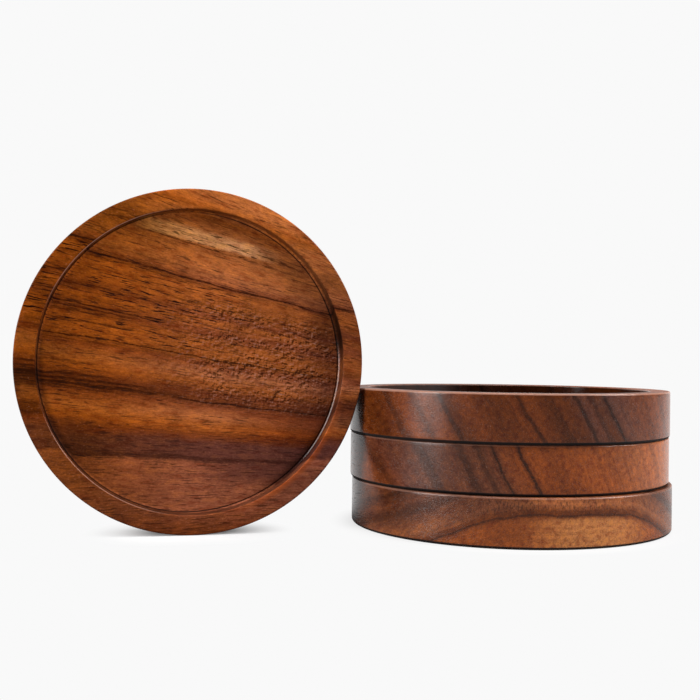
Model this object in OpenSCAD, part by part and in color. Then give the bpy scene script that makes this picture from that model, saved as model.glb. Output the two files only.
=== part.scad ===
// Set of round turned walnut drink coasters: a stack of them, and one stood on its rim beside the stack.
// Each coaster is one solid piece of wood: a disc with a raised rim around a shallow round recess.
// Millimetres, +Z up, front towards -Y. The origin is the middle of the stack's underside.

/* [Coaster] */
// Diameter across the outside of a coaster
outer_d = 102; // [80:1:130]
// Thickness of a coaster
thick = 14.5; // [12:0.5:20]
// Width of the raised rim around the recess
rim_w = 6; // [4:0.5:12]
// Depth of the recess that a glass stands in
recess_depth = 4.5; // [3:0.5:7]

/* [Eased edges] */
// Radius on the rim's outer top edge
outer_ease = 0.5; // [0.2:0.1:1.5]
// Radius on the rim's inner top edge
inner_ease = 0.5; // [0.2:0.1:1.2]
// Radius around the underside
base_ease = 1; // [0.3:0.1:2]
// Radius of the cove where the recess wall meets the recess floor
cove_r = 1.2; // [0.3:0.1:1.6]

/* [Stack] */
// Shift of the middle coaster to the right of the bottom one
middle_shift_x = -0.2; // [-2:0.1:2]
// Shift of the middle coaster behind the bottom one
middle_shift_y = 1.6; // [-2:0.1:2]
// Shift of the top coaster to the right of the bottom one
top_shift_x = -0.8; // [-2:0.1:2]
// Shift of the top coaster behind the bottom one
top_shift_y = 0.2; // [-2:0.1:2]

/* [Standing coaster] */
// Distance of the standing coaster's face in front of the stack's middle
face_forward = 8.6; // [3:0.1:12]
// Clearance between the standing coaster's rim and the top edge of the stack
stack_gap = 0.9; // [0.2:0.1:2]

/* [Hidden] */
$fn = 180;

// How far a cut runs past the face that it opens
overrun = 1;
outer_r = outer_d / 2;
recess_r = outer_r - rim_w;
floor_z = thick - recess_depth;
stack_h = 3 * thick;

// Wood tones, from the photograph
bottom_tone = [0.40, 0.22, 0.13];
middle_tone = [0.44, 0.23, 0.12];
top_tone = [0.37, 0.19, 0.11];
standing_tone = [0.47, 0.24, 0.11];

// The stack's leftmost reach, which the standing coaster clears
stack_left = min(0, middle_shift_x, top_shift_x) - outer_r;
// Height at which the standing coaster comes nearest to the stack, and its half width there
near_z = min(stack_h, outer_r);
near_half = sqrt(outer_r * outer_r - (outer_r - near_z) * (outer_r - near_z));
standing_x = stack_left - stack_gap - near_half;
standing_back_y = thick - face_forward;

// Waste outside a quarter round of radius r, for a corner at the origin that points up and right
module corner_waste(r) {
    difference() {
        translate([-r, -r])
            square([r + overrun, r + overrun]);
        translate([-r, -r])
            circle(r);
    }
}

// Section of the recess: straight wall, cove at its foot and eased edge at its mouth
module recess_section() {
    difference() {
        translate([0, floor_z])
            square([recess_r, recess_depth + overrun]);
        translate([recess_r, floor_z])
            mirror([0, 1])
                corner_waste(cove_r);
    }
    translate([recess_r, thick])
        mirror([1, 0])
            corner_waste(inner_ease);
}

// Half section of a coaster, from its axis out to its edge
module coaster_section() {
    difference() {
        square([outer_r, thick]);
        recess_section();
        translate([outer_r, thick])
            corner_waste(outer_ease);
        translate([outer_r, 0])
            mirror([0, 1])
                corner_waste(base_ease);
    }
}

// One coaster, lying on its underside with its recess up
module coaster() {
    rotate_extrude()
        coaster_section();
}

module bottom_coaster() {
    color(bottom_tone)
        coaster();
}

module middle_coaster() {
    color(middle_tone)
        translate([middle_shift_x, middle_shift_y, thick])
            coaster();
}

module top_coaster() {
    color(top_tone)
        translate([top_shift_x, top_shift_y, stack_h - thick])
            coaster();
}

// Stands on its rim with the recess facing the front
module standing_coaster() {
    color(standing_tone)
        translate([standing_x, standing_back_y, outer_r])
            rotate([90, 0, 0])
                coaster();
}

bottom_coaster();
middle_coaster();
top_coaster();
standing_coaster();
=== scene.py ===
import math
from types import SimpleNamespace

import bpy
import numpy as np
from mathutils import Matrix, Vector


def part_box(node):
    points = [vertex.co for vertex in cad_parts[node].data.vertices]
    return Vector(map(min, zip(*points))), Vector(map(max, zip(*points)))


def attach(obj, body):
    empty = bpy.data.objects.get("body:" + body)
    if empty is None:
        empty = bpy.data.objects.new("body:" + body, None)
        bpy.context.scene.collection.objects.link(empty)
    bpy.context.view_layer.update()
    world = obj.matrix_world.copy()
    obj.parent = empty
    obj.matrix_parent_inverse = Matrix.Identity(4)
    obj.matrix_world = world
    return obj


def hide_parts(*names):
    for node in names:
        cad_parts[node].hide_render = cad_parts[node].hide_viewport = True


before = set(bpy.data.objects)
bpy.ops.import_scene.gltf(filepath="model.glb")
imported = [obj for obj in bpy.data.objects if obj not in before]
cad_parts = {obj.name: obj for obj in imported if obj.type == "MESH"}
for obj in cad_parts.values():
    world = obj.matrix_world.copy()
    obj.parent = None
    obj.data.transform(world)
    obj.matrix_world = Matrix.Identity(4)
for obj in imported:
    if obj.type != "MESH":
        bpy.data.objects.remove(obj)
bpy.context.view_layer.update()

# Set of turned walnut coasters: a stack, and one stood on its rim beside it.
# Metres in the part's own frame; the wood's figure is laid out in millimetres inside each coaster.

MM = 0.001


# Sizes of a coaster that the frame's boxes don't give

RIM_W = 6.0 * MM
RECESS_DEPTH = 4.5 * MM
OUTER_EASE = 0.5 * MM
INNER_EASE = 0.5 * MM
BASE_EASE = 1.0 * MM
COVE_R = 1.2 * MM

# How much the hand-sanded edges vary around the turn
EASE_VARIES = 0.18

# Fineness of the turned surface, and the fan that closes its middle, as a share of the outer radius
TURN_STEPS = 512
ARC_STEPS = 9
FLAT_STEPS = 7
FAN_SHARE = 1 / 40


# The turned coaster

def in_scene(name, data):
    """New object at the origin, linked into the scene."""
    made = bpy.data.objects.new(name, data)
    bpy.context.scene.collection.objects.link(made)
    return made


def waver(turn, phase):
    """Slow variation around the turn, from -1 to 1: three sines with 2, 3 and 5 waves, summed and scaled."""
    waves = np.sin(2 * turn + phase) + np.sin(3 * turn + 2.3 * phase) + np.sin(5 * turn + 4.1 * phase)
    return waves / 3


def arc(centre_r, centre_z, radius, start, end):
    """Quarter round of the section: centre plus radius times (cosine, sine) from start to end degrees."""
    angle = np.radians(np.linspace(start, end, ARC_STEPS))[:, None]
    return centre_r + radius * np.cos(angle), centre_z + radius * np.sin(angle)


def flat(r_from, r_to, z_from, z_to):
    """Straight run of the section between two points, with its rows closer together near both ends."""
    share = (1 - np.cos(np.linspace(0, math.pi, FLAT_STEPS)))[1:-1, None] / 2
    blank = np.zeros((1, TURN_STEPS))
    return r_from + (r_to - r_from) * share + blank, z_from + (z_to - z_from) * share + blank


def coaster_surface(outer_r, thick, phase):
    """Surface of revolution: radius r and height z as functions of the row of the section and the turn angle.

    The section runs out over the recess floor, up the cove and wall, over the rim and down round the base.
    """
    turn = np.arange(TURN_STEPS) * 2 * math.pi / TURN_STEPS
    inner = INNER_EASE * (1 + EASE_VARIES * waver(turn, phase))[None, :]
    outer = OUTER_EASE * (1 + EASE_VARIES * waver(turn, phase + 1))[None, :]
    base = BASE_EASE * (1 + EASE_VARIES * waver(turn, phase + 2))[None, :]
    cove = COVE_R + 0 * inner
    recess_r = outer_r - RIM_W
    floor_z = thick - RECESS_DEPTH
    hub = outer_r * FAN_SHARE
    parts = [
        flat(hub, recess_r - cove, floor_z, floor_z),
        arc(recess_r - cove, floor_z + cove, cove, -90, 0),
        flat(recess_r, recess_r, floor_z + cove, thick - inner),
        arc(recess_r + inner, thick - inner, inner, 180, 90),
        flat(recess_r + inner, outer_r - outer, thick, thick),
        arc(outer_r - outer, thick - outer, outer, 90, 0),
        flat(outer_r, outer_r, thick - outer, base),
        arc(outer_r - base, base, base, 0, -90),
        flat(outer_r - base, hub, 0, 0),
    ]
    r = np.concatenate([part[0] for part in parts])
    z = np.concatenate([part[1] for part in parts])
    return np.stack([r * np.cos(turn), r * np.sin(turn), z], axis=2), floor_z


def turned_piece(name, node, phase, stands=False):
    """Coaster in place of its node: a grid of section rows by turns, closed at both ends by a fan."""
    low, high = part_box(node)
    size = high - low
    outer_r = size.x / 2
    thick = size.y if stands else size.z
    grid, floor_z = coaster_surface(outer_r, thick, phase)
    rows, turns = grid.shape[:2]
    points = np.concatenate([grid.reshape(-1, 3), [[0, 0, floor_z], [0, 0, 0]]])
    middle = (low + high) / 2
    if stands:
        points = np.stack([points[:, 0] + middle.x, high.y - points[:, 2], points[:, 1] + middle.z], axis=1)
    else:
        points = points + np.array([middle.x, middle.y, low.z])
    row, column = np.meshgrid(np.arange(rows - 1), np.arange(turns), indexing="ij")
    beside = (column + 1) % turns
    quads = np.stack([row * turns + column, (row + 1) * turns + column,
                      (row + 1) * turns + beside, row * turns + beside], axis=2).reshape(-1, 4)
    around = np.arange(turns)
    after = (around + 1) % turns
    top_hub = rows * turns
    top_fan = np.stack([np.full(turns, top_hub), around, after], axis=1)
    last = (rows - 1) * turns
    base_fan = np.stack([np.full(turns, top_hub + 1), last + after, last + around], axis=1)
    mesh = bpy.data.meshes.new(name)
    mesh.from_pydata(points.tolist(), [], quads.tolist() + top_fan.tolist() + base_fan.tolist())
    mesh.polygons.foreach_set("use_smooth", np.ones(len(mesh.polygons), bool))
    mesh.update()
    return in_scene(name, mesh)


# Material building

class Grain:
    """A socket of a material. Arithmetic on it adds Math nodes, so a mask reads as a formula."""

    def __init__(self, tree, socket):
        self.tree = tree
        self.socket = socket

    def node(self, kind, settings, inputs, output=0):
        """Adds a node: its settings first, a ramp's stops among them, then its sockets' values or links."""
        made = self.tree.nodes.new(kind)
        for key, value in settings.items():
            if key == "stops":
                lay_stops(made.color_ramp, value)
            else:
                setattr(made, key, value)
        for key, value in inputs.items():
            if isinstance(value, Grain):
                self.tree.links.new(value.socket, made.inputs[key])
            else:
                made.inputs[key].default_value = value
        return Grain(self.tree, made.outputs[output] if len(made.outputs) else None)

    def maths(self, operation, *values):
        """Math node on values in their order."""
        return self.node("ShaderNodeMath", {"operation": operation}, dict(enumerate(values)))

    def __add__(self, other):
        return self.maths("ADD", self, other)

    __radd__ = __add__

    def __sub__(self, other):
        return self.maths("SUBTRACT", self, other)

    def __rsub__(self, other):
        return self.maths("SUBTRACT", other, self)

    def __mul__(self, other):
        return self.maths("MULTIPLY", self, other)

    __rmul__ = __mul__

    def __truediv__(self, other):
        return self.maths("DIVIDE", self, other)

    def __rtruediv__(self, other):
        return self.maths("DIVIDE", other, self)

    def __abs__(self):
        return self.maths("ABSOLUTE", self)

    def root(self):
        return self.maths("SQRT", self)

    def most(self, other):
        """The greater of this and another value."""
        return self.maths("MAXIMUM", self, other)

    def rise(self, low, high):
        """Smooth step from 0 at low to 1 at high, or from 1 down to 0 where low is the greater."""
        return self.node("ShaderNodeMapRange", {"interpolation_type": "SMOOTHSTEP"},
                         {"Value": self, "From Min": low, "From Max": high})

    def between(self, begins, full, fades, gone):
        """0 up to begins, 1 from full to fades, and 0 again beyond gone."""
        return self.rise(begins, full) * self.rise(gone, fades)

    def near(self, place, half, soft):
        """1 within half of a place and 0 beyond half plus soft."""
        return abs(self - place).rise(half + soft, half)

    def axes(self):
        """The three numbers of this vector."""
        return [self.node("ShaderNodeSeparateXYZ", {}, {"Vector": self}, axis) for axis in range(3)]

    def noise(self, detail=2.0, roughness=0.5):
        """Noise value around 0.5, one cell for each unit of this vector."""
        return self.node("ShaderNodeTexNoise", {}, {"Vector": self, "Scale": 1.0, "Detail": detail,
                                                    "Roughness": roughness})

    def into(self, colour, share):
        """This colour turned towards another by a share."""
        return self.node("ShaderNodeMix", {"data_type": "RGBA"}, {0: share, 6: self, 7: colour}, 2)

    def dimmed(self, factor):
        """This colour times a factor."""
        return self.node("ShaderNodeVectorMath", {"operation": "SCALE"}, {0: self, "Scale": factor})

    def tinted(self, colour, share):
        """This colour multiplied by another by a share."""
        return self.node("ShaderNodeMix", {"data_type": "RGBA", "blend_type": "MULTIPLY"},
                         {0: share, 6: self, 7: colour}, 2)

    def ray(self, kind):
        """1 for a ray of the kind named: Camera, Glossy or Transmission."""
        return self.node("ShaderNodeLightPath", {}, {}, "Is " + kind + " Ray")


def lay_stops(ramp, stops):
    """Sets a ramp's stops from (position, colour) pairs."""
    while len(ramp.elements) > 1:
        ramp.elements.remove(ramp.elements[-1])
    ramp.elements[0].position = stops[0][0]
    ramp.elements[0].color = stops[0][1]
    for place, colour in stops[1:]:
        ramp.elements.new(place).color = colour


def tone(red, green, blue):
    """Linear colour from a screen colour of 0 to 255."""
    screen = np.array([red, green, blue]) / 255
    linear = np.where(screen <= 0.04045, screen / 12.92, ((screen + 0.055) / 1.055) ** 2.4)
    return (*[float(v) for v in linear], 1.0)


def new_material(name):
    """Empty material, and a start for its nodes."""
    material = bpy.data.materials.new(name)
    material.use_nodes = True
    material.node_tree.nodes.clear()
    return material, Grain(material.node_tree, None)


# Walnut

# Tones of its pores, its rings from dark to light, and the pale of its painted highlights and glints
SOOT = tone(26, 9, 3)
UMBER = tone(74, 33, 9)
PLUM = tone(83, 43, 25)
COCOA = tone(78, 42, 30)
WALNUT = tone(88, 40, 13)
CHESTNUT = tone(104, 48, 14)
RUST = tone(122, 59, 20)
BRICK = tone(127, 69, 36)
TAWNY = tone(144, 82, 46)
AMBER = tone(146, 74, 20)
HONEY = tone(156, 86, 34)
EMBER = tone(148, 65, 18)
TAN = tone(196, 130, 76)
STRAW = tone(206, 143, 78)
HIGHLIGHT_PALE = tone(176, 132, 114)

# Tints that a tone is multiplied by
GOLDEN_TINT = (1.26, 1.24, 1.0, 1.0)
RUSSET_TINT = (0.72, 0.58, 0.5, 1.0)
WARM_TINT = (0.90, 0.76, 0.32, 1.0)
ROSY_TINT = (0.97, 1.07, 2.3, 1.0)
PLUM_TINT = (0.72, 0.70, 0.90, 1.0)

# Depth of the open pores, and how the oiled wood and its polish bend light
PORE_DEPTH = 0.09 * MM
WOOD_IOR = 1.47
POLISH_IOR = 1.6
POLISH_ROUGHNESS = 0.15

# Reach of the tones across the growth rings, in millimetres either side of a coaster's middle
REACH = 60.0

# Growth lines: half the taper at their ends, how much wider and softer their halo is, and their share of fray
LINE_TAPER = 6
HALO_WIDER = 0.1
HALO_SOFTER = 0.9
LINE_FRAY = 0.35

# A coaster's sizes in the wood's millimetres
COASTER_LOW, COASTER_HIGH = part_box("bottom_coaster")
OUTER_R = (COASTER_HIGH.x - COASTER_LOW.x) / 2 / MM
RECESS_R = OUTER_R - RIM_W / MM
RIM_Z = (COASTER_HIGH.z - COASTER_LOW.z) / MM
FLOOR_Z = RIM_Z - RECESS_DEPTH / MM

# Limits of a rise that is 1 all over a coaster
EVERYWHERE = (90, 80)


def turned_form(right, back, out):
    """Places of the turned form, by distance from the axis and height: each mask is 1 on its place."""
    radius = (right * right + back * back).root()
    above_floor = out.rise(FLOOR_Z - 1.5, FLOOR_Z - 0.5)
    return SimpleNamespace(
        right=right, back=back, out=out, radius=radius, above_floor=above_floor,
        wall=radius.between(RECESS_R - 0.2, RECESS_R - 0.05, RECESS_R + 0.02, RECESS_R + 0.12) * above_floor,
        cove=radius.between(RECESS_R - 1.2, RECESS_R - 0.9, RECESS_R + 0.02, RECESS_R + 0.12) * above_floor,
        eased=out.rise(RIM_Z - 0.6, RIM_Z - 0.4),
        base_edge=out.rise(0.95, 0.75) * radius.rise(OUTER_R - 1.2, OUTER_R - 0.8))


def painted_recess_shade(colour, form, look):
    """Painted shade: darker along the foot of the recess wall, on the wall, in its corner and at the base's
    edge, where stacked coasters meet.

    The mouth of the recess is darkened the same way on its upper right side, a painted shadow.
    """
    right, back, radius = form.right, form.back, form.radius
    low = back.rise(*look["low"])
    # Painted shade: a dark line along the foot of the recess wall, low down
    foot = radius.near(RECESS_R - 0.3 - right.rise(-10, 22) * 0.5, 0.1, 0.16) * form.above_floor * low
    # Painted shadow of the wall on the floor's edge, at the sides and low down
    corner = radius.near(RECESS_R, 0.6, 2.4) * form.out.rise(FLOOR_Z + 1, FLOOR_Z + 0.5) * form.above_floor
    to_the_sides = right.rise(-26, -40) + right.rise(16, 30) * back.rise(-8, -24)
    painted_corner_shadow = corner * back.rise(12, 0) * low * to_the_sides * 0.6
    # Painted shade on the foot line, on the wall and in the joint where stacked coasters meet
    painted_shade = (foot * 0.85).most(form.base_edge * 0.95)
    colour = colour.dimmed((1 - painted_shade) * (1 - form.wall * look["wall"]) * (1 - painted_corner_shadow))
    # Painted shadow on the mouth of the recess at its upper right
    mouth = radius.between(RECESS_R - 1.0, RECESS_R - 0.7, RECESS_R + 0.1, RECESS_R + 0.3) * form.above_floor
    upper_right = back.between(0, 6, 10, 34) * right.rise(0, 14)
    return colour.dimmed(1 - mouth * upper_right * look["mouth_shade"])


def painted_edge_highlights(colour, form, look):
    """Painted highlights: paler on the rim's two eased edges where they catch the light, and redder beside
    the recess at the lower right.
    """
    right, back, radius = form.right, form.back, form.radius
    # Painted highlights on the inner and outer eased edges
    highlight_to = RECESS_R + look["highlight_width"]
    inner = radius.between(RECESS_R - 0.02, RECESS_R + 0.05, highlight_to - 0.1, highlight_to + 0.1) * form.eased
    inner = inner * right.rise(*look["highlight_left"]) * abs(back).rise(*look["highlight_apart"])
    outer = radius.rise(OUTER_R - 0.6, OUTER_R - 0.4) * form.eased
    strip = radius.between(RECESS_R - 0.02, RECESS_R + 0.2, RECESS_R + 0.7, RECESS_R + 2.2) * form.eased
    ember = strip * right.rise(6, 26) * back.rise(-8, -27) * look["ember"]
    edge_highlight = inner * look["inner_highlight"] + outer * look["outer_highlight"]
    return colour.into(HIGHLIGHT_PALE, edge_highlight).into(EMBER, ember)


def sheen(form, streak, pores, look):
    """Roughness, the mask of the smoothest places and the weight of the polish.

    The rim and the lower cove are smooth. The cove on the left, the wall and the base's edge are matt. The
    floor and the rim's top keep at least the dullness that look gives. Polish lies in the cove on the right.
    """
    right, back, out, radius = form.right, form.back, form.out, form.radius
    rim = out.rise(RIM_Z - 0.7, RIM_Z - 0.4) * radius.rise(RECESS_R - 0.3, RECESS_R)
    smooth = (form.cove * back.rise(*look["low"]) * right.rise(-20, 10)).most(rim)
    matt = (form.cove * right.rise(10, -20)).most(form.wall * look["wall_matt"])
    floor = radius.rise(RECESS_R - 0.02, RECESS_R - 0.1) * form.above_floor
    upward = floor.most(out.rise(RIM_Z - 0.3, RIM_Z - 0.1) * 0.85)
    rough = (look["rough"] + (streak - 0.5) * 0.12 + pores * 0.15) * (1 - smooth * look["gloss"])
    rough = (rough + matt * 0.5 + form.base_edge * 0.7).most(upward * look["dull_top"])
    polish = radius.near(RECESS_R - 0.4, 0.25, 0.15) * form.above_floor * right.rise(12, 36) * back.rise(9, 2)
    return rough, smooth, polish * look["polish"]


def wood(name, layout, rings, tones, lines, look):
    """Oiled walnut in three dimensions: tones and dark lines across the growth rings, with streaks and pores.

    layout is the Mapping that gives millimetres inside the coaster, with height above its underside. rings
    turns them into a place across the rings, along the fibres and beside them. tones are stops across the
    rings. A line has a place across the rings, half width, softness and strength, and a short one also its
    two ends along the fibres. look holds the strength of each part of the figure and the finish.
    """
    material, start = new_material(name)
    place = start.node("ShaderNodeTexCoord", {}, {}, "Object")
    board = start.node("ShaderNodeMapping", {}, {"Vector": place, "Location": layout["shift"],
                                                 "Rotation": layout["turn"],
                                                 "Scale": (1 / MM, 1 / MM, 1 / MM)})
    right, back, out = board.axes()
    across, along, beside = rings(right, back, out)
    form = turned_form(right, back, out)

    def stretched(by_fibre, by_ring, by_side, slip=0.0):
        """The wood's coordinates as a vector, scaled in waves per millimetre, after a slip in millimetres."""
        return start.node("ShaderNodeCombineXYZ", {}, {
            0: (along + slip) * by_fibre, 1: (across - slip) * by_ring, 2: beside * by_side})

    # Growth rings wander slowly, and their edges are frayed along the fibres
    wander = stretched(0.03, 0.05, 0.05).noise(1.0) - 0.5
    ripple = stretched(0.10, 0.25, 0.25).noise(1.0) - 0.5
    fray = (stretched(0.4, 1.6, 1.6).noise(3.0, 0.65) - 0.5) * look["fray"]
    course = across + wander * look["wander"] + ripple * look["ripple"]
    ring = course + fray
    seam = course + fray * LINE_FRAY
    colour = start.node("ShaderNodeValToRGB", {"stops": [((s + REACH) / (2 * REACH), c) for s, c in tones]},
                        {"Fac": (ring + REACH) / (2 * REACH)})
    colour = look["zones"](colour, along, across, beside)

    # Fine streaks, broad shimmer, narrow bands along the rings, and golden and red-brown patches
    streak = stretched(0.5, 1.6, 1.6).noise(3.0, 0.6)
    hair = stretched(1.1, 3.0, 3.0).noise(1.0, 0.5)
    grit = stretched(1.8, 2.4, 2.4).noise(1.0, 0.6)
    shimmer = stretched(0.11, 0.06, 0.06).noise(1.0)
    band = start.node("ShaderNodeCombineXYZ", {}, {0: along * 0.012, 1: ring * 0.7}).noise(2.0, 0.6)
    light = 1
    fields = {"streak": streak, "hair": hair, "grit": grit, "shimmer": shimmer, "band": band}
    for part, field in fields.items():
        light = light + (field - 0.5) * look[part]
    patch = stretched(0.22, 0.6, 0.6).noise(2.0, 0.6)
    # Painted glints: pale flecks where the grit and fine hairs are brightest
    colour = colour.dimmed(light).into(HIGHLIGHT_PALE, (grit * 0.5 + hair * 0.5).rise(0.56, 0.76) * look["glint"])
    colour = colour.tinted(GOLDEN_TINT, patch.rise(0.48, 0.68) * look["patch"])
    colour = colour.tinted(RUSSET_TINT, patch.rise(0.50, 0.30) * look["patch"])

    # Dark growth lines, broken up by the streaks
    unbroken = 1 - streak.rise(0.44, 0.66) * look["broken"]
    for at, half, soft, strength, *ends in lines:
        halo = ring.near(at, half + HALO_WIDER, soft + HALO_SOFTER) * look["halo"]
        line = (seam.near(at, half, soft) * unbroken).most(halo) * strength
        if ends:
            first, last = ends
            line = line * along.between(first - LINE_TAPER, first + LINE_TAPER,
                                        last - LINE_TAPER, last + LINE_TAPER)
        colour = colour.into(SOOT, line)

    # Open pores: short dark dashes along the fibres, which become dots where the fibres come to the surface
    crowding, pits, painted_glints = look["figure"](along, across, beside, stretched)
    crowd = stretched(0.04, 0.3, 0.3).noise(1.0).rise(0.40, 0.58) * 0.75 + 0.25 + crowding
    pores = stretched(0.2, 2.5, 2.5).noise(2.0, 0.5).rise(0.55, 0.63) * crowd
    dashes = stretched(0.6, 4.4, 4.4).noise(0.0).rise(0.60, 0.72)
    colour = colour.into(SOOT, pores * look["pores"]).into(SOOT, dashes * look["dashes"])
    # Dark pits, on the standing face partly painted shade of the relief, and painted pale glints
    colour = colour.into(SOOT, pits).into(HIGHLIGHT_PALE, painted_glints)

    # Painted shade in the recess and at the base's edge, then painted highlights on the eased edges
    colour = painted_edge_highlights(painted_recess_shade(colour, form, look), form, look)
    rough, smooth, polish = sheen(form, streak, pores, look)
    height = hair * 0.3 + streak * 0.4 - pores * 0.8 - dashes * 0.5 - pits * 0.8 + painted_glints * 0.5
    relief = start.node("ShaderNodeBump", {}, {"Strength": look["relief"], "Distance": PORE_DEPTH,
                                               "Height": height * (1 - smooth * 0.8)})
    shader = start.node("ShaderNodeBsdfPrincipled", {}, {
        "Base Color": colour, "Roughness": rough, "Normal": relief, "IOR": WOOD_IOR,
        "Specular IOR Level": look["shine"], "Coat Weight": polish, "Coat Roughness": POLISH_ROUGHNESS,
        "Coat IOR": POLISH_IOR})
    start.node("ShaderNodeOutputMaterial", {}, {"Surface": shader})
    return material


# The standing coaster: growth lines fall to the right, more steeply near the top

# Fall of the lines for each millimetre to the right, how they fan out, and how they sink towards the viewer
FALL = 0.15
FAN = 0.0035
SINK = 0.55


def standing_layout():
    """Right and up in the face, and out from the underside towards the viewer."""
    low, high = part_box("standing_coaster")
    middle = (low + high) / 2
    return {"shift": (-middle.x / MM, -middle.z / MM, high.y / MM), "turn": (-math.pi / 2, 0, 0)}


def standing_rings(right, up, out):
    """Across the rings: height plus FALL times right, over 1 less FAN times right, less SINK times out."""
    across = (up + right * FALL) / (1 - right * FAN) - (out - FLOOR_Z) * SINK
    return across, right - up * FALL, out


STANDING_TONES = [
    (-52, CHESTNUT), (-43, BRICK), (-29.8, BRICK), (-28.9, PLUM), (-24, PLUM), (-21.5, CHESTNUT),
    (-19, AMBER), (-16, HONEY), (-12.6, RUST), (-11.2, CHESTNUT), (-8.5, CHESTNUT), (-6, AMBER),
    (-3, HONEY), (0, RUST), (1.8, AMBER), (6.5, AMBER), (9.6, RUST), (13, AMBER), (15, RUST), (18, AMBER),
    (23.6, AMBER), (25, RUST), (28, HONEY), (41, HONEY), (44, AMBER), (47, HONEY)]

STANDING_LINES = [
    (37.8, 0.1, 0.4, 0.5, -14, 30), (35.1, 0.1, 0.4, 0.6, -24, 26), (32.9, 1.5, 2.0, 0.4, 42, 60),
    (27.6, 0.1, 0.35, 0.3, -30, 4), (24.9, 0.1, 0.4, 0.9, -48, 48), (23.9, 0.05, 0.3, 0.4, -40, 20),
    (18.2, 0.1, 0.4, 0.5, -12, 24), (15.4, 0.1, 0.35, 0.55, -44, -8), (10.3, 0.12, 0.35, 0.85, -48, -12),
    (9.3, 0.1, 0.3, 0.7, -48, -18), (8.3, 0.1, 0.3, 0.5, -46, -24), (5.8, 0.1, 0.3, 0.65, -48, -16),
    (1.7, 0.06, 0.3, 0.9, -48, 45), (0.6, 0.05, 0.3, 0.5, -48, -20), (-5.2, 0.1, 0.4, 0.45, -46, -26),
    (-8.4, 0.15, 0.4, 0.7, -50, -22), (-9.7, 0.15, 0.4, 0.75, -50, -10), (-10.9, 0.2, 0.4, 0.75, -50, -6),
    (-11.4, 0.1, 0.35, 0.85, -6, 46), (-11.8, 0.1, 0.35, 0.6, -50, -20), (-15.7, 1.2, 1.6, 0.7, -60, -48),
    (-28.6, 0.2, 0.8, 0.5, -26, 44)]


def standing_figure(along, across, beside, stretched):
    """Crowding of the pores, dark pits and painted pale glints.

    Pores crowd above the middle. The floor's right side is figured: a pit where its noise falls, a dark pore
    partly painted as the shaded side of the relief, and a painted glint where it rises. The rim beside it is
    blotched, and dark dashes run through the straw streak.
    """
    crowding = across.near(14, 8, 5) * along.rise(24, 4) * 0.8
    figured = along.rise(-18, 12) * across.between(-15, -7, 15, 24) * beside.rise(12.0, 11.0)
    slope = stretched(0.7, 0.85, 0.85).noise(2.0, 0.6) - stretched(0.7, 0.85, 0.85, 0.42).noise(2.0, 0.6)
    clump = (stretched(0.12, 0.25, 0.25).noise(1.0).rise(0.36, 0.56) * 0.55 + 0.45) * figured
    right_rim = beside.rise(13.9, 14.3) * along.rise(14, 32)
    blotch = stretched(0.10, 0.2, 0.2).noise(2.0, 0.6).rise(0.50, 0.64) * right_rim
    through_straw = across.near(37.5, 2, 2) * along.near(2, 14, 8)
    dark_dashes = stretched(0.24, 1.5, 1.5, 9.0).noise(1.0).rise(0.60, 0.66) * through_straw
    pits = (slope.rise(0.025, 0.12) * clump * 0.8 + blotch * 0.3).most(dark_dashes * 0.75)
    return crowding, pits, slope.rise(-0.08, -0.18) * clump * 0.25


def standing_marks(colour, along, across, on_floor):
    """Straw streak near the top, plum band that widens to the lower right, and a dark mark on each side."""
    slanted = across - along * 0.04
    straw = slanted.between(35.4, 36.5, 38.6, 41) * along.near(-2, 12, 13) * on_floor
    widening = along.rise(0, 22) * across.between(-38, -33, -28, -25) * on_floor
    settling = along.rise(-16, -38) * across.near(-21.5, 1, 2.5) * on_floor
    colour = colour.into(STRAW, straw * 0.8).into(PLUM, widening * 0.95).into(PLUM, settling * 0.6)
    left_mark = across.near(-16, 4.6, 2) * (1 - across.near(-16.4, 1, 1.6) * 0.4) * along.rise(-36, -42)
    right_mark = across.near(-15.9, 0.8, 1.6) * along.rise(40, 44)
    return colour.into(SOOT, (left_mark * 0.7 + right_mark * 0.3) * (1 - on_floor))


def standing_shade(along, across, on_floor):
    """How much darker each part of the face is, partly its own tone and partly painted shade, such as the
    floor darkening towards its right; less how much lighter the rim is at the lower right.
    """
    upper = across.rise(19, 25)
    middle = across.between(-24, -16, 35, 40) * (1 - along.rise(-6, 8) * upper * 0.5)
    # Painted shade: the floor darkens towards its right
    rightward = along.between(2, 20, 36, 43) * across.rise(-22, -17) * on_floor
    rightward = rightward * (1 - upper * 0.5) * (1 - across.near(-9.5, 1.5, 2) * 0.6)
    left_rim = along.rise(-10, -36) * across.rise(-18, -8)
    upper_rim = across.between(26, 32, 42.5, 45)
    lower_left_rim = across.rise(-27, -35) * along.rise(24, -4)
    far_right_rim = along.rise(26, 42) * across.rise(2, 12)
    lower_right_rim = across.near(-24, 7, 5) * along.rise(-20, 10)
    darker_rim = left_rim * 0.24 + upper_rim * 0.2 + lower_left_rim * 0.34 + far_right_rim * 0.2
    return middle * 0.13 + rightward * 0.12 + (darker_rim - lower_right_rim * 0.3) * (1 - on_floor)


def standing_zones(colour, along, across, beside):
    """The face's marks and its darker parts, then its tints: warm at the left, plum at the right, partly
    painted shade there, and rosiest between.
    """
    on_floor = beside.rise(12.0, 10.5)
    colour = standing_marks(colour, along, across, on_floor)
    colour = colour.dimmed(1 - standing_shade(along, across, on_floor))
    russet = along.rise(6, 34) * across.between(-25, -22, -14, -11) * on_floor
    colour = colour.tinted(RUSSET_TINT, russet).tinted(WARM_TINT, along.rise(14, -34))
    # Plum tint that darkens the right side, partly painted shade
    colour = colour.tinted(PLUM_TINT, along.rise(24, 46) * (on_floor * 0.4 + 0.6))
    return colour.tinted(ROSY_TINT, 0.5 + across.rise(-22, -10) * across.rise(32, 24) * 0.5)


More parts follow.
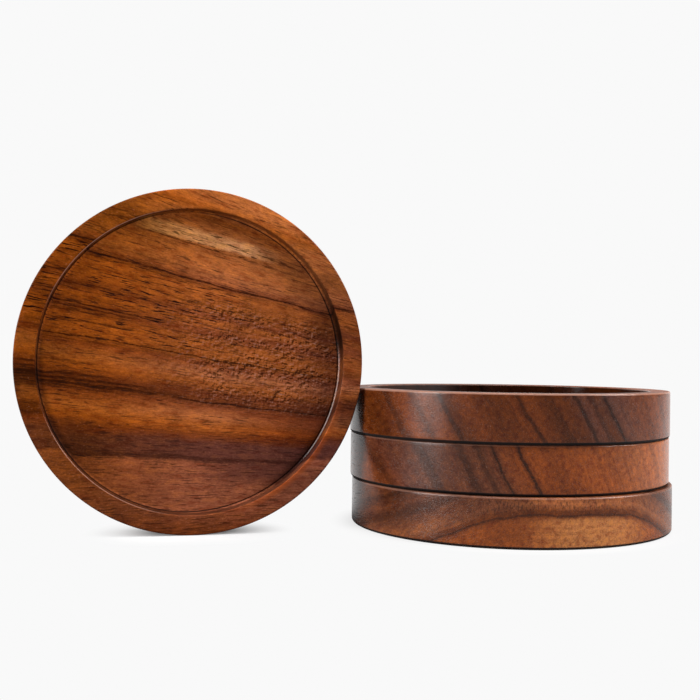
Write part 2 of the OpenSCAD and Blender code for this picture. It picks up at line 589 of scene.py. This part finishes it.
# The stack's coasters: fibres run from front to back, so their front shows the ends of the rings

def lying_layout(node):
    """Right, back and up from the middle of the coaster's underside."""
    low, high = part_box(node)
    middle = (low + high) / 2
    return {"shift": (-middle.x / MM, -middle.y / MM, -low.z / MM), "turn": (0, 0, 0)}


def upright_rings(lean, droop):
    """Across the rings: right, plus height times a lean that lessens with the square of right."""
    def rings(right, back, up):
        across = right + up * (lean - right * right * droop)
        beside = up - right * lean
        return across, back, beside
    return rings


# The arch on the bottom coaster's front, in millimetres, and how it rises from its front to its back
ARCH_MIDDLE = -2.3
ARCH_HALF = 35
ARCH_HEIGHT = 12.3
ARCH_BLUNT = 0.6
ARCH_FRONT = -50
ARCH_RISE = 0.0012


def arched_rings(right, back, up):
    """Across the rings: height, plus a blunt arch to the sides, plus a slow rise towards the back.

    The arch is w / (1 + ARCH_BLUNT w), where w is the fourth power of the way from its middle.
    """
    bow = (right - ARCH_MIDDLE) / ARCH_HALF
    square = bow * bow
    fourth = square * square
    arch = fourth / (1 + ARCH_BLUNT * fourth)
    rear = back - ARCH_FRONT
    return up + arch * ARCH_HEIGHT + rear * rear * ARCH_RISE, back, right


TOP_TONES = [
    (-56, CHESTNUT), (-46, UMBER), (-43, WALNUT), (-38, CHESTNUT), (-33, CHESTNUT), (-28, UMBER),
    (-24, WALNUT), (-16, UMBER), (-10, WALNUT), (-4, UMBER), (4, UMBER), (8, COCOA), (14, UMBER),
    (18, COCOA), (30, WALNUT), (40, CHESTNUT), (58, RUST)]

TOP_LINES = [
    (-42.4, 0.4, 0.8, 0.5), (-36.2, 0.6, 1.0, 0.5), (-29.6, 0.3, 0.8, 0.7), (-9.4, 0.2, 1.0, 0.75),
    (-1, 0.5, 1.4, 0.4), (7.0, 0.25, 1.1, 0.8), (12, 0.5, 1.4, 0.4), (16.5, 0.25, 0.9, 0.8),
    (30, 0.2, 1.2, 0.3), (38, 0.2, 1.0, 0.4)]

MIDDLE_TONES = [
    (-49, CHESTNUT), (-42, COCOA), (-34, PLUM), (-20, PLUM), (-12, CHESTNUT), (0, CHESTNUT), (6, RUST),
    (14, RUST), (26, BRICK), (40, AMBER)]

MIDDLE_LINES = [
    (-45.5, 0.4, 1.0, 0.45), (-34.8, 0.7, 1.2, 0.6), (-25.6, 0.5, 1.0, 0.65), (-21.4, 0.3, 1.0, 0.5),
    (-17.5, 0.15, 0.5, 0.85), (-10.4, 0.25, 0.6, 0.9), (33, 0.1, 1.2, 0.2)]

BOTTOM_TONES = [
    (8.8, RUST), (9.8, CHESTNUT), (11, RUST), (12.5, TAWNY), (16, BRICK), (19, PLUM), (22, CHESTNUT),
    (25, PLUM), (28, BRICK), (33, PLUM), (40, BRICK), (48, PLUM), (58, BRICK)]

BOTTOM_LINES = [
    (9.7, 0.15, 0.5, 0.75), (10.8, 0.2, 0.8, 0.4), (19.6, 0.4, 1.6, 0.35), (25.5, 0.3, 1.4, 0.4),
    (34, 0.3, 1.2, 0.45)]


def end_figure(along, across, beside, stretched):
    """Pores cut across, with no crowding: tiny dark dots, and a few painted pale glints."""
    field = stretched(0.5, 2.2, 2.2).noise(1.0, 0.5)
    return 0.0, field.rise(0.40, 0.28) * 0.3, field.rise(0.68, 0.78) * 0.12


def arched_figure(along, across, beside, stretched):
    """Pores cut across, and short upright dashes above the arch left of the middle."""
    crowding, dots, painted_glints = end_figure(along, across, beside, stretched)
    upright = stretched(0.3, 0.8, 3.0).noise(0.0).rise(0.56, 0.66)
    above_arch = across.between(10.5, 12, 16, 18) * beside.near(-8, 14, 12)
    return crowding, dots + upright * above_arch * 0.5, painted_glints


def plain_zones(colour, along, across, beside):
    """No zones: the rings' own tones are left as they are."""
    return colour


def golden_lens(colour, along, across, beside):
    """Bright heart under the arch, a little right of the middle, and plum wood above its two ends."""
    heart = across.rise(9.8, 8.0) * beside.near(4.5, 4, 20)
    low_left = beside.rise(-28, -42) * across.rise(20, 14)
    left_end = beside.rise(-8, -22) * 0.85 * (1 - low_left * 0.6)
    right_end = beside.rise(14, 26) * 0.4
    flanks = across.rise(10.5, 12.5) * (left_end + right_end)
    return colour.into(TAN, heart * 0.5).into(PLUM, flanks).dimmed(0.88)


# Strength of each part of the figure and the finish, unless a coaster has its own
USUAL_LOOK = {
    # Growth rings in millimetres, the light and dark in them, and the share of painted glints
    "wander": 2.2, "ripple": 1.2, "fray": 3.0, "streak": 1.7, "hair": 0.9, "grit": 0.6, "shimmer": 0.7,
    "band": 0.8, "patch": 1.0, "glint": 0.1,
    # Growth lines and pores
    "broken": 0.6, "halo": 0.2, "pores": 0.8, "dashes": 0.3, "relief": 0.5,
    # Painted shade in the recess: how high its foot line reaches, and its share on the wall and the mouth
    "low": EVERYWHERE, "wall": 0.8, "mouth_shade": 0.0,
    # Painted highlights on the eased edges and where on the inner one they lie, and the red inner strip
    "highlight_left": EVERYWHERE, "highlight_apart": EVERYWHERE, "highlight_width": 0.5, "inner_highlight": 0.22,
    "outer_highlight": 0.2, "ember": 0.0,
    # Finish
    "rough": 0.25, "shine": 0.27, "gloss": 0.2, "dull_top": 0.55, "wall_matt": 0.0, "polish": 0.0,
    "figure": end_figure, "zones": plain_zones}

STANDING_LOOK = USUAL_LOOK | {
    "fray": 2.2, "streak": 0.8, "hair": 0.45, "patch": 0.9, "broken": 0.4, "pores": 0.65,
    # Painted shade in the recess, and painted highlights on the eased edges
    "low": (47, 42), "wall": 0.45, "mouth_shade": 0.8,
    "highlight_left": (-4, -18), "highlight_apart": (12, 26), "highlight_width": 0.2, "inner_highlight": 0.42,
    "outer_highlight": 0.0, "ember": 0.45,
    "shine": 0.04, "gloss": 0.55, "dull_top": 0.0, "wall_matt": 1.0, "polish": 0.45,
    "figure": standing_figure, "zones": standing_zones}

# The sides of the stack, where the fibres come to the surface
STACK_LOOK = USUAL_LOOK | {
    "fray": 0.8, "streak": 0.8, "hair": 0.3, "broken": 0.2, "halo": 0.45, "pores": 0.2, "dashes": 0.2,
    "relief": 0.3, "rough": 0.19}

# The top coaster's front edge has a stronger painted highlight
TOP_LOOK = STACK_LOOK | {"outer_highlight": 0.5}
BOTTOM_LOOK = STACK_LOOK | {"figure": arched_figure, "zones": golden_lens}

FINISHES = {
    "standing": wood("walnut_standing", standing_layout(), standing_rings, STANDING_TONES, STANDING_LINES,
                     STANDING_LOOK),
    "top": wood("walnut_top", lying_layout("top_coaster"), upright_rings(0.61, 0.0001), TOP_TONES, TOP_LINES,
                TOP_LOOK),
    "middle": wood("walnut_middle", lying_layout("middle_coaster"), upright_rings(0.47, 0.00002),
                   MIDDLE_TONES, MIDDLE_LINES, STACK_LOOK),
    "bottom": wood("walnut_bottom", lying_layout("bottom_coaster"), arched_rings, BOTTOM_TONES, BOTTOM_LINES,
                   BOTTOM_LOOK),
}

# Each turned coaster takes the place of its node and rides on its own body
for phase, body in enumerate(("bottom", "middle", "top", "standing")):
    coaster = turned_piece("turned_" + body, body + "_coaster", phase, stands=body == "standing")
    coaster.data.materials.append(FINISHES[body])
    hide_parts(body + "_coaster")
    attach(coaster, body)


# Table

PAPER = tone(249, 249, 249)
TABLE_GREY = (0.69, 0.69, 0.69, 1.0)
TABLE_SHADE = (0.4, 0.4, 0.4, 1.0)
TABLE_HALF = 4.0

# Where the shade gives way to plain paper around the standing coaster's foot and around the stack
FOOT_HALF = 0.008
STANDING_SHADED = (-0.003, 0.024)
STACK_SHADED = (-0.018, 0.008)

# How far back the table begins to show as paper in the coasters' gloss
MIRRORED_FROM = (0.01, 0.07)

table_mesh = bpy.data.meshes.new("table")
table_corners = [(-TABLE_HALF, -TABLE_HALF, 0), (TABLE_HALF, -TABLE_HALF, 0),
                 (TABLE_HALF, TABLE_HALF, 0), (-TABLE_HALF, TABLE_HALF, 0)]
table_mesh.from_pydata(table_corners, [], [(0, 1, 2, 3)])
table = in_scene("table", table_mesh)

table_material, start = new_material("white_table")
ground = start.node("ShaderNodeTexCoord", {}, {}, "Object")
ground_x, ground_y, _ = ground.axes()
standing_low, standing_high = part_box("standing_coaster")
standing_middle = (standing_low + standing_high) / 2
beside_it = (abs(ground_x - standing_middle.x) - FOOT_HALF).most(0.0)
behind_it = ground_y - standing_middle.y
from_standing = (beside_it * beside_it + behind_it * behind_it).root()
from_axis = start.node("ShaderNodeVectorMath", {"operation": "LENGTH"}, {0: ground}, "Value")
from_stack = abs(from_axis - OUTER_R * MM)
seen = start.ray("Camera")
mirrored = start.ray("Glossy") * ground_y.rise(*MIRRORED_FROM)
shade = start.node("ShaderNodeMix", {"data_type": "RGBA"}, {0: seen, 6: TABLE_SHADE, 7: TABLE_GREY}, 2)
lit = start.node("ShaderNodeBsdfDiffuse", {}, {"Color": shade})
glow = start.node("ShaderNodeEmission", {}, {"Color": PAPER, "Strength": 1.0})
fade = from_standing.rise(*STANDING_SHADED) * from_stack.rise(*STACK_SHADED) * (seen + mirrored)
ground_shader = start.node("ShaderNodeMixShader", {}, {0: fade, 1: lit, 2: glow})
start.node("ShaderNodeOutputMaterial", {}, {"Surface": ground_shader})
table_mesh.materials.append(table_material)


# Studio

# White where the camera looks and dim on the coasters, whose gloss shows it dark in front and white behind
DIM = 0.28
GLOSS_DARK = 0.02
GLOSS_LEAN = 0.15
GLOSS_WHITE_FROM = (0.50, 0.82)

world = bpy.data.worlds.new("studio")
world.use_nodes = True
world.node_tree.nodes.clear()
bpy.context.scene.world = world
air = Grain(world.node_tree, None)
sideways, depth, _ = air.node("ShaderNodeTexCoord", {}, {}, "Generated").axes()
mirror_level = GLOSS_DARK + (1 - GLOSS_DARK) * (depth + sideways * GLOSS_LEAN).rise(*GLOSS_WHITE_FROM)
glossy_ray = air.ray("Glossy")
on_coasters = glossy_ray * mirror_level + (1 - glossy_ray) * DIM
white_share = air.ray("Camera").most(air.ray("Transmission"))
level = white_share + (1 - white_share) * on_coasters
sky = air.node("ShaderNodeBackground", {}, {"Color": PAPER, "Strength": level})
air.node("ShaderNodeOutputWorld", {}, {"Surface": sky})


def soft_light(name, place, aim, width, height, power):
    """Rectangular soft light at a place, facing a point."""
    lamp = bpy.data.lights.new(name, "AREA")
    lamp.shape = "RECTANGLE"
    lamp.size = width
    lamp.size_y = height
    lamp.energy = power
    holder = in_scene(name, lamp)
    holder.location = place
    holder.rotation_euler = (Vector(aim) - Vector(place)).to_track_quat("-Z", "Y").to_euler()


BETWEEN_COASTERS = (-0.05, 0, 0.04)
STACK_FRONT = (-0.02, -0.03, 0.06)

soft_light("key", (0.86, -0.47, 0.60), BETWEEN_COASTERS, 0.6, 0.6, 18.0)
soft_light("overhead", (0.0, -0.25, 1.1), BETWEEN_COASTERS, 0.9, 0.9, 9.5)
soft_light("window", (-0.96, -0.2, 0.36), STACK_FRONT, 0.44, 0.76, 12.5)


# Camera, at the photograph's viewing angle

IMAGE_SIDE = 700
SENSOR = 36.0
CAMERA_PLACE = Vector((-0.13407, -0.31339, 0.05297))
HEADING = math.radians(14.348)
PITCH = math.radians(0.394)
ROLL = math.radians(0.713)
FOCAL_PIXELS = 1030.95

ahead = Vector((math.sin(HEADING) * math.cos(PITCH), math.cos(HEADING) * math.cos(PITCH), math.sin(PITCH)))
level_right = Vector((math.cos(HEADING), -math.sin(HEADING), 0))
level_up = level_right.cross(ahead)
right = level_right * math.cos(ROLL) + level_up * math.sin(ROLL)
up = level_up * math.cos(ROLL) - level_right * math.sin(ROLL)
camera_data = bpy.data.cameras.new("camera")
camera_data.sensor_width = SENSOR
camera_data.lens = SENSOR * FOCAL_PIXELS / IMAGE_SIDE
camera_data.clip_start = 0.01
camera = in_scene("camera", camera_data)
camera.matrix_world = Matrix.Translation(CAMERA_PLACE) @ Matrix((right, up, -ahead)).transposed().to_4x4()
bpy.context.scene.camera = camera

bpy.context.scene.view_settings.view_transform = "Standard"
